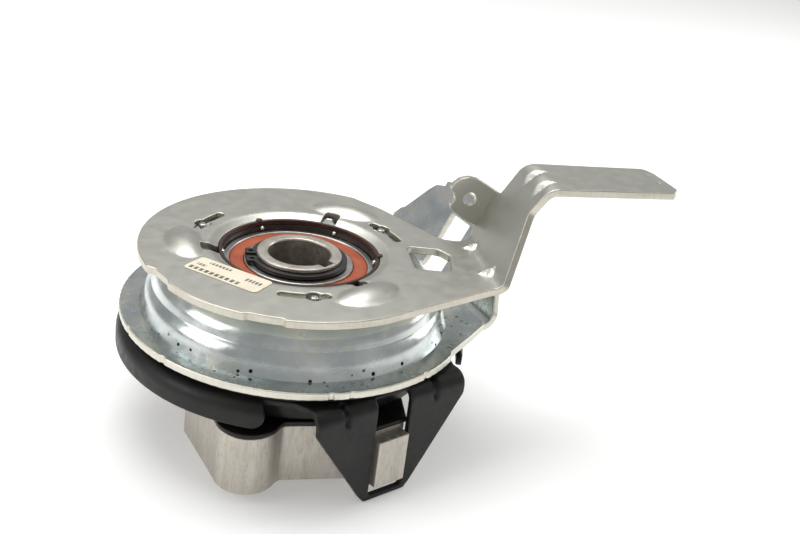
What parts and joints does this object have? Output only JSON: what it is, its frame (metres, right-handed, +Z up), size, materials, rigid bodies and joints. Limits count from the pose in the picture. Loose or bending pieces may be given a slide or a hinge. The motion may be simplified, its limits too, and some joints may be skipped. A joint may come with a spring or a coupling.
{
  "type": "blade-brake clutch",
  "caption": "Lever-actuated ball-ramp clutch and blade brake for a vertical mower crankshaft, with a keyed hub, torque bracket, two-legged blade carrier and extruded blade adaptor.",
  "frame": {"origin": "on the crankshaft axis, level with the feet of the blade carrier's legs", "axes": "+Z up the crankshaft axis towards the engine; the lever arm points towards +X at rest"},
  "size_m": [0.2256, 0.1707, 0.1156],
  "materials": {
    "zinc_lever": "warm grey zinc plate, satin",
    "zinc_cam": "bluish zinc plate, fairly bright",
    "black_coat": "black electro-coat, satin",
    "extruded_aluminium": "as-extruded, vertical grain",
    "bearing_steel": "ground bearing steel",
    "sintered_steel": "sintered and machined",
    "dark_steel": "oil-blackened",
    "seal_rubber": "moulded, matt orange-red",
    "bush_resin": "dark brown phenolic resin",
    "friction_lining": "moulded friction material",
    "pressed_steel": "plain pressed steel",
    "spring_steel": "oil-tempered wire",
    "label_paper": "printed vinyl label, off-white"
  },
  "bodies": {
    "housing": {"bearing_collar": "dark_steel", "upper_bearing_outer_ring": "bearing_steel", "upper_bearing_seal_top": "seal_rubber", "upper_bearing_seal_bottom": "seal_rubber", "pivot_bush": "bush_resin"},
    "lever": {"lever_plate": "zinc_lever", "rating_label": "label_paper"},
    "ramp_balls": {"ramp_ball_1": "bearing_steel", "ramp_ball_2": "bearing_steel", "ramp_ball_3": "bearing_steel"},
    "cam": {"cam_plate": "zinc_cam", "stop_pin_1": "bearing_steel", "stop_pin_2": "bearing_steel", "stop_pin_3": "bearing_steel", "brake_pad_1": "friction_lining", "brake_pad_2": "friction_lining", "brake_pad_3": "friction_lining"},
    "input_hub": {"hub_sleeve": "sintered_steel", "upper_circlip": "dark_steel", "lower_circlip": "dark_steel", "upper_bearing_inner_ring": "bearing_steel", "lower_bearing_inner_ring": "bearing_steel", "hub_spacer": "pressed_steel", "drive_plate": "pressed_steel", "clutch_lining": "friction_lining"},
    "upper_cage": {"upper_bearing_ball_cage": "pressed_steel"},
    "blade_drive": {"blade_carrier": "black_coat", "carrier_cover_plate": "black_coat", "blade_adaptor": "extruded_aluminium", "carrier_screw_1": "pressed_steel", "carrier_screw_2": "pressed_steel", "carrier_screw_3": "pressed_steel", "carrier_screw_4": "pressed_steel", "lower_bearing_outer_ring": "bearing_steel", "lower_bearing_seal_top": "seal_rubber", "lower_bearing_seal_bottom": "seal_rubber", "clutch_spring_1": "spring_steel", "clutch_spring_2": "spring_steel", "clutch_spring_3": "spring_steel", "clutch_spring_4": "spring_steel"},
    "lower_cage": {"lower_bearing_ball_cage": "pressed_steel"},
    "pressure": {"pressure_plate": "pressed_steel"}
  },
  "joints": [
    {"name": "lever_turn", "type": "hinge", "parent": "housing", "child": "lever", "pos_m": [0, 0, 0.0769], "axis": [0, 0, 1], "range_deg": [0, 14]},
    {"name": "ramp_ball_roll", "type": "hinge", "parent": "housing", "child": "ramp_balls", "pos_m": [0, 0, 0.0743], "axis": [0, 0, 1], "range_deg": [0, 7]},
    {"name": "cam_lift", "type": "slide", "parent": "housing", "child": "cam", "axis": [0, 0, 1], "range_m": [0, 0.0012]},
    {"name": "hub_spin", "type": "hinge", "parent": "housing", "child": "input_hub", "pos_m": [0, 0, 0.0658], "axis": [0, 0, 1], "continuous": true},
    {"name": "upper_cage_roll", "type": "hinge", "parent": "housing", "child": "upper_cage", "pos_m": [0, 0, 0.0658], "axis": [0, 0, 1], "continuous": true},
    {"name": "blade_slip", "type": "hinge", "parent": "input_hub", "child": "blade_drive", "pos_m": [0, 0, 0.0222], "axis": [0, 0, 1], "continuous": true},
    {"name": "lower_cage_roll", "type": "hinge", "parent": "input_hub", "child": "lower_cage", "pos_m": [0, 0, 0.0222], "axis": [0, 0, 1], "continuous": true},
    {"name": "pressure_lift", "type": "slide", "parent": "blade_drive", "child": "pressure", "axis": [0, 0, 1], "range_m": [0, 0.001]}
  ],
  "couplings": [
    {"joint": "ramp_ball_roll", "follows": "lever_turn", "ratio": 0.5},
    {"joint": "cam_lift", "follows": "lever_turn", "m_per_rad": 0.0049},
    {"joint": "pressure_lift", "follows": "lever_turn", "m_per_rad": 0.004},
    {"joint": "upper_cage_roll", "follows": "hub_spin", "ratio": 0.423},
    {"joint": "lower_cage_roll", "follows": "blade_slip", "ratio": 0.577}
  ]
}
